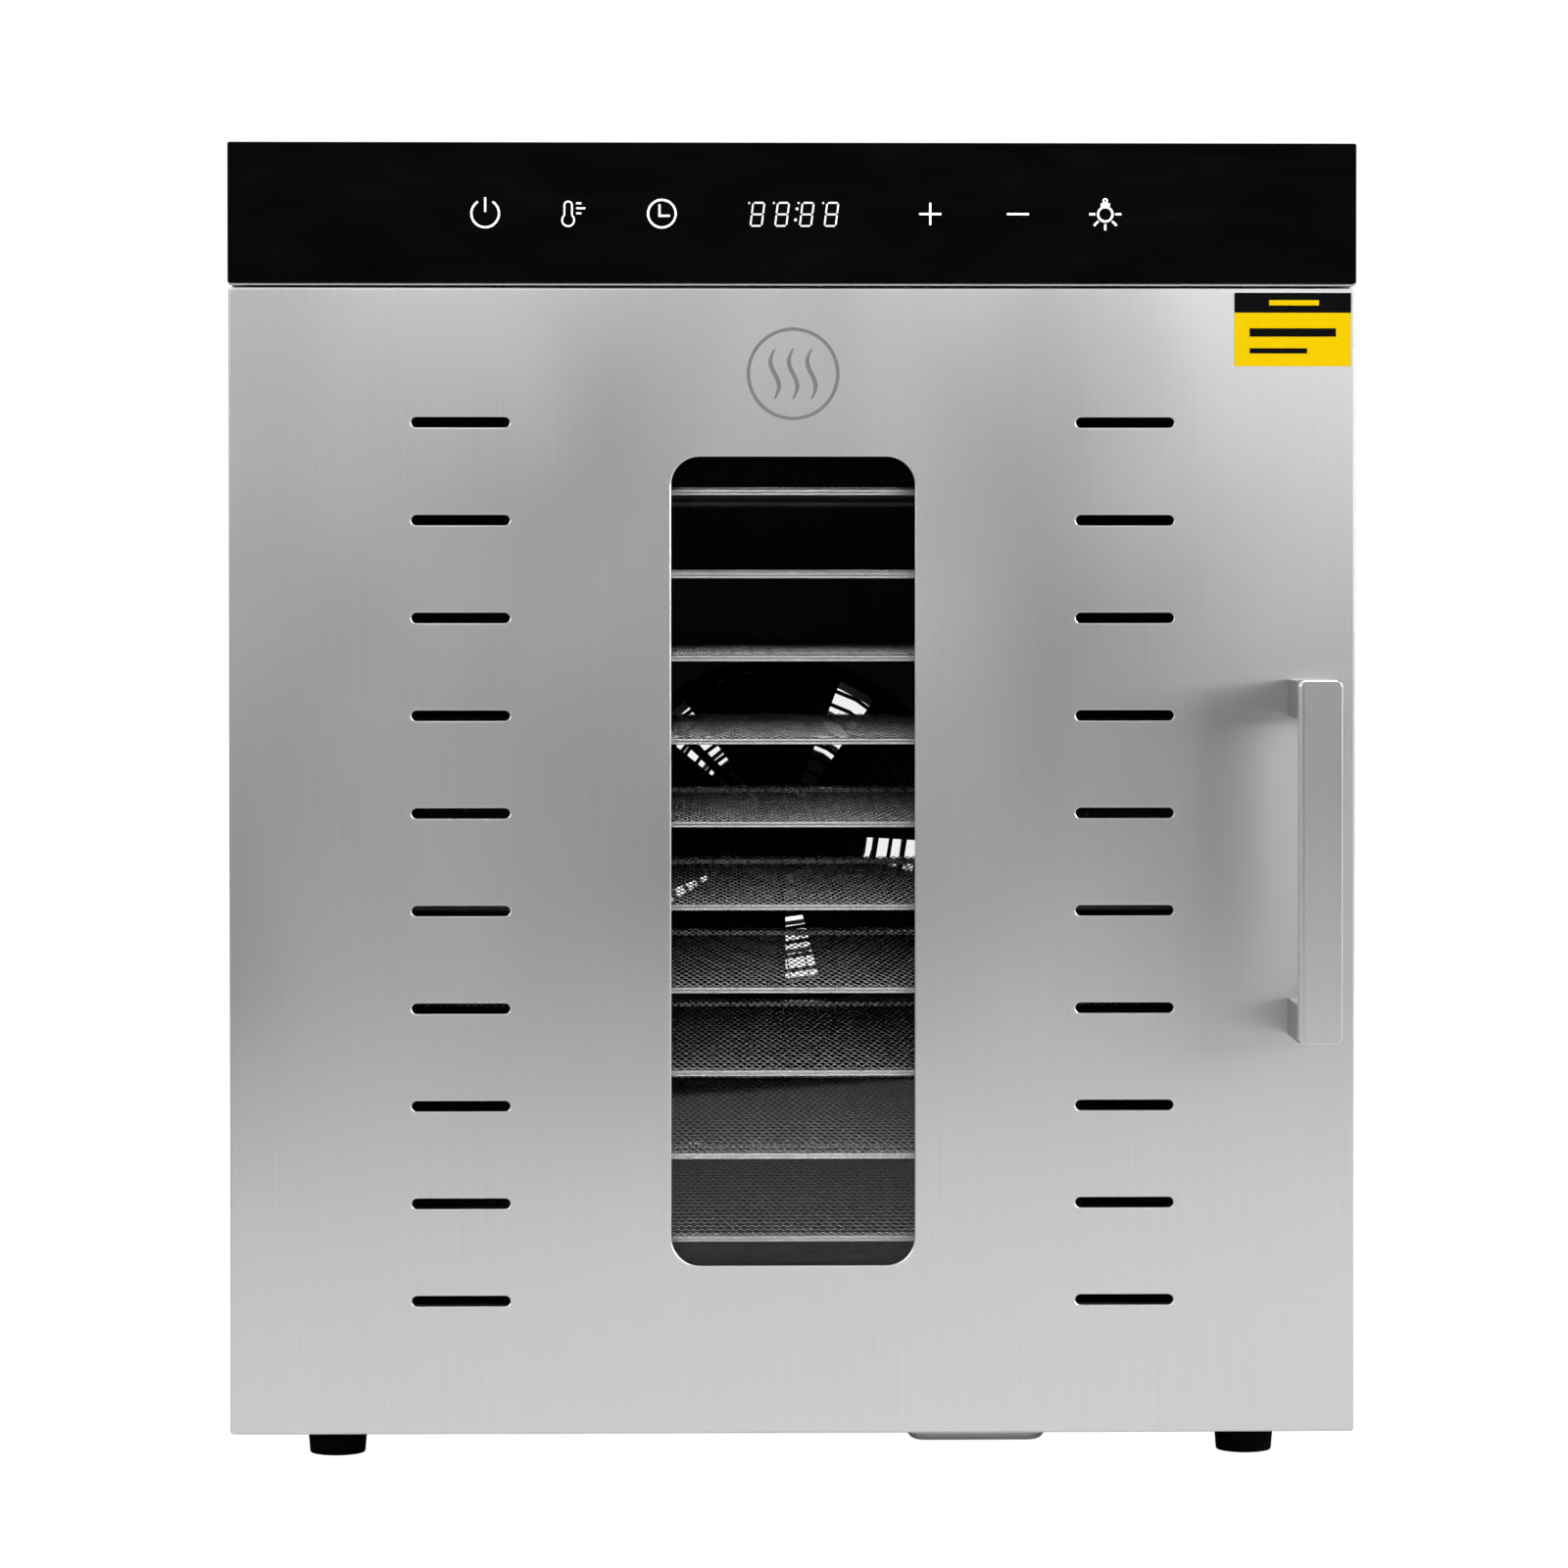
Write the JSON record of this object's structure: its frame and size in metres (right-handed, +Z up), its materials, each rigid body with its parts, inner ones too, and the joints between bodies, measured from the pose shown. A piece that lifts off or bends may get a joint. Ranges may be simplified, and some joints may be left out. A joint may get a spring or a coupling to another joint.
{
  "type": "food dehydrator",
  "caption": "Stainless-steel cabinet food dehydrator with a glazed, slotted door on a side hinge, sliding mesh trays, rear fan and heater, and a black touch-control fascia on top.",
  "frame": {"origin": "bottom centre of the whole object's box, on the surface it stands on", "axes": "+Z up, the door faces -Y, its hinge is on the -X side and its handle on the +X side"},
  "size_m": [0.43, 0.476, 0.5065],
  "materials": {
    "brushed_steel": "brushed stainless sheet",
    "zinc_steel": "plain zinc-plated sheet",
    "chrome": "bright chrome plating",
    "black_glass": "glossy black back-printed panel",
    "clear_glass": "clear, slightly smoked",
    "black_plastic": "satin black",
    "white_plastic": "natural white",
    "rubber": "matt black",
    "silicone": "matt dark grey",
    "circuit_board": "green solder mask",
    "aluminium": "pressed sheet",
    "magnet": "dark ferrite",
    "motor_iron": "varnished laminations"
  },
  "bodies": {
    "cabinet": {"outer_wrap": "brushed_steel", "front_frame": "brushed_steel", "back_panel": "brushed_steel", "inner_liner": "brushed_steel", "rack_left": "brushed_steel", "rack_right": "brushed_steel", "fan_guard": "brushed_steel", "control_housing": "brushed_steel", "base_pan": "zinc_steel", "control_shelf": "zinc_steel", "hinge_arm_lower": "zinc_steel", "hinge_arm_upper": "zinc_steel", "rear_fan_guard": "zinc_steel", "motor_bracket": "zinc_steel", "heater_element": "zinc_steel", "heater_clip_left": "zinc_steel", "heater_clip_right": "zinc_steel", "drip_runner_left": "zinc_steel", "drip_runner_right": "zinc_steel", "hinge_pin_lower": "chrome", "hinge_pin_upper": "chrome", "temperature_probe": "chrome", "fascia_glass": "black_glass", "lamp_lens": "clear_glass", "display_module": "black_plastic", "power_inlet": "black_plastic", "thermal_cutout": "white_plastic", "lamp_base": "white_plastic", "foot_front_left": "rubber", "foot_front_right": "rubber", "foot_rear_left": "rubber", "foot_rear_right": "rubber", "control_board": "circuit_board", "power_board": "circuit_board", "magnet_catch": "magnet", "fan_motor": "motor_iron"},
    "door": {"door_skin": "brushed_steel", "door_inner_panel": "zinc_steel", "window_glass": "clear_glass", "window_gasket": "silicone", "door_gasket": "silicone", "catch_plate": "zinc_steel", "hinge_block_lower": "white_plastic", "hinge_block_upper": "white_plastic", "handle_bar": "brushed_steel", "handle_post_upper": "brushed_steel", "handle_post_lower": "brushed_steel"},
    "fan": {"fan_blades": "aluminium", "fan_shaft": "chrome"},
    "drip_tray": {"drip_tray": "chrome"},
    "tray_01": {"tray_01": "chrome"},
    "tray_02": {"tray_02": "chrome"},
    "tray_03": {"tray_03": "chrome"},
    "tray_04": {"tray_04": "chrome"},
    "tray_05": {"tray_05": "chrome"},
    "tray_06": {"tray_06": "chrome"},
    "tray_07": {"tray_07": "chrome"},
    "tray_08": {"tray_08": "chrome"},
    "tray_09": {"tray_09": "chrome"},
    "tray_10": {"tray_10": "chrome"}
  },
  "joints": [
    {"name": "door_hinge", "type": "hinge", "parent": "cabinet", "child": "door", "pos_m": [-0.21, -0.1845, 0.2329], "axis": [0, 0, -1], "range_deg": [0, 110]},
    {"name": "fan_spin", "type": "hinge", "parent": "cabinet", "child": "fan", "pos_m": [0, 0.1985, 0.2258], "axis": [0, 1, 0], "continuous": true},
    {"name": "drip_tray_slide", "type": "slide", "parent": "cabinet", "child": "drip_tray", "axis": [0, -1, 0], "range_m": [0, 0.1]},
    {"name": "tray_01_slide", "type": "slide", "parent": "cabinet", "child": "tray_01", "axis": [0, -1, 0], "range_m": [0, 0.006]},
    {"name": "tray_02_slide", "type": "slide", "parent": "cabinet", "child": "tray_02", "axis": [0, -1, 0], "range_m": [0, 0.006]},
    {"name": "tray_03_slide", "type": "slide", "parent": "cabinet", "child": "tray_03", "axis": [0, -1, 0], "range_m": [0, 0.006]},
    {"name": "tray_04_slide", "type": "slide", "parent": "cabinet", "child": "tray_04", "axis": [0, -1, 0], "range_m": [0, 0.006]},
    {"name": "tray_05_slide", "type": "slide", "parent": "cabinet", "child": "tray_05", "axis": [0, -1, 0], "range_m": [0, 0.006]},
    {"name": "tray_06_slide", "type": "slide", "parent": "cabinet", "child": "tray_06", "axis": [0, -1, 0], "range_m": [0, 0.006]},
    {"name": "tray_07_slide", "type": "slide", "parent": "cabinet", "child": "tray_07", "axis": [0, -1, 0], "range_m": [0, 0.006]},
    {"name": "tray_08_slide", "type": "slide", "parent": "cabinet", "child": "tray_08", "axis": [0, -1, 0], "range_m": [0, 0.006]},
    {"name": "tray_09_slide", "type": "slide", "parent": "cabinet", "child": "tray_09", "axis": [0, -1, 0], "range_m": [0, 0.006]},
    {"name": "tray_10_slide", "type": "slide", "parent": "cabinet", "child": "tray_10", "axis": [0, -1, 0], "range_m": [0, 0.006]}
  ]
}
